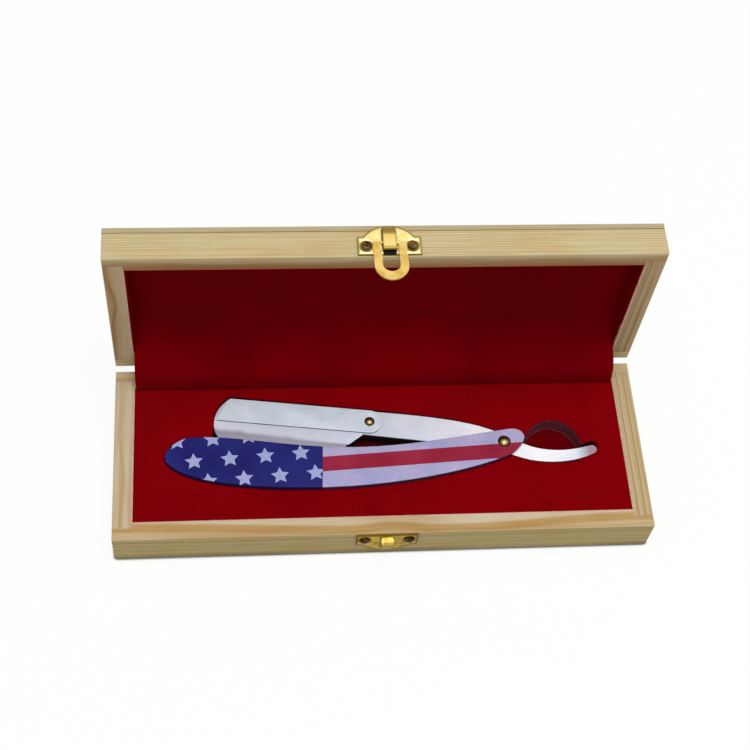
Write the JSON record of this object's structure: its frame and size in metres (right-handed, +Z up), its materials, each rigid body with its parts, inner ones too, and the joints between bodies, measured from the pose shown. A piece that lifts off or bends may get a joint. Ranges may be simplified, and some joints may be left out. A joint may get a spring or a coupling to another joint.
{
  "type": "straight razor box",
  "caption": "Hinged pine box lined with crimson velvet, with a brass hasp and catch, holding a folding razor in a fitted recess.",
  "frame": {"origin": "centre of the base's underside, on the surface that the box stands on", "axes": "+X to the right along the box's width, +Y from the catch to the hinges, +Z up; the lid stands open at a right angle"},
  "size_m": [0.2126, 0.0947, 0.0978],
  "materials": {
    "pine": "unvarnished pine, sanded",
    "velvet": "crimson velvet",
    "brass": "stamped and lacquered brass",
    "screw_brass": "dark brass-plated steel",
    "hinge_pin_steel": "drawn steel wire",
    "arm_steel": "brushed stainless steel",
    "blade_steel": "ground blade steel",
    "handle_print": "printed film with stars and stripes on folded steel"
  },
  "bodies": {
    "base": {"base_front_wall": "pine", "base_back_wall": "pine", "base_left_wall": "pine", "base_right_wall": "pine", "base_bottom_panel": "pine", "base_floor_board": "velvet", "base_pad": "velvet", "catch_plate": "brass", "catch_screws": "screw_brass", "hinge_base_leaves": "brass", "hinge_pins": "hinge_pin_steel", "hinge_base_screws": "screw_brass", "hinge_cloth": "velvet"},
    "lid": {"lid_front_wall": "pine", "lid_back_wall": "pine", "lid_left_wall": "pine", "lid_right_wall": "pine", "lid_top_panel": "pine", "lid_pad": "velvet", "lid_side_strips": "velvet", "hasp_plate": "brass", "hasp_screws": "screw_brass", "hinge_lid_leaves": "brass", "hinge_lid_screws": "screw_brass"},
    "hasp": {"hasp_loop": "brass"},
    "razor": {"razor_handle": "handle_print", "pivot_rivet": "brass", "pivot_washers": "brass"},
    "arm": {"razor_arm": "arm_steel", "half_blade": "blade_steel", "cover_pin": "brass"},
    "cover": {"cover_plate": "arm_steel"}
  },
  "joints": [
    {"name": "lid_hinge", "type": "hinge", "parent": "base", "child": "lid", "pos_m": [0, 0.03915, 0.0171], "axis": [-1, 0, 0], "range_deg": [-90, 0], "deforming": ["hinge_cloth"]},
    {"name": "hasp_swing", "type": "hinge", "parent": "lid", "child": "hasp", "pos_m": [0, 0.04455, 0.09535], "axis": [-1, 0, 0], "range_deg": [-6.3, 165]},
    {"name": "razor_slide", "type": "slide", "parent": "base", "child": "razor", "axis": [0, 0, 1], "range_m": [0, 0.03]},
    {"name": "arm_swing", "type": "hinge", "parent": "razor", "child": "arm", "pos_m": [0.0499, 0.0011, 0.0138], "axis": [0, 0, 1], "range_deg": [-0.5, 2.5]},
    {"name": "cover_swing", "type": "hinge", "parent": "arm", "child": "cover", "pos_m": [-0.00403, 0.01241, 0.0138], "axis": [0, 0, 1], "range_deg": [0, 4]}
  ]
}
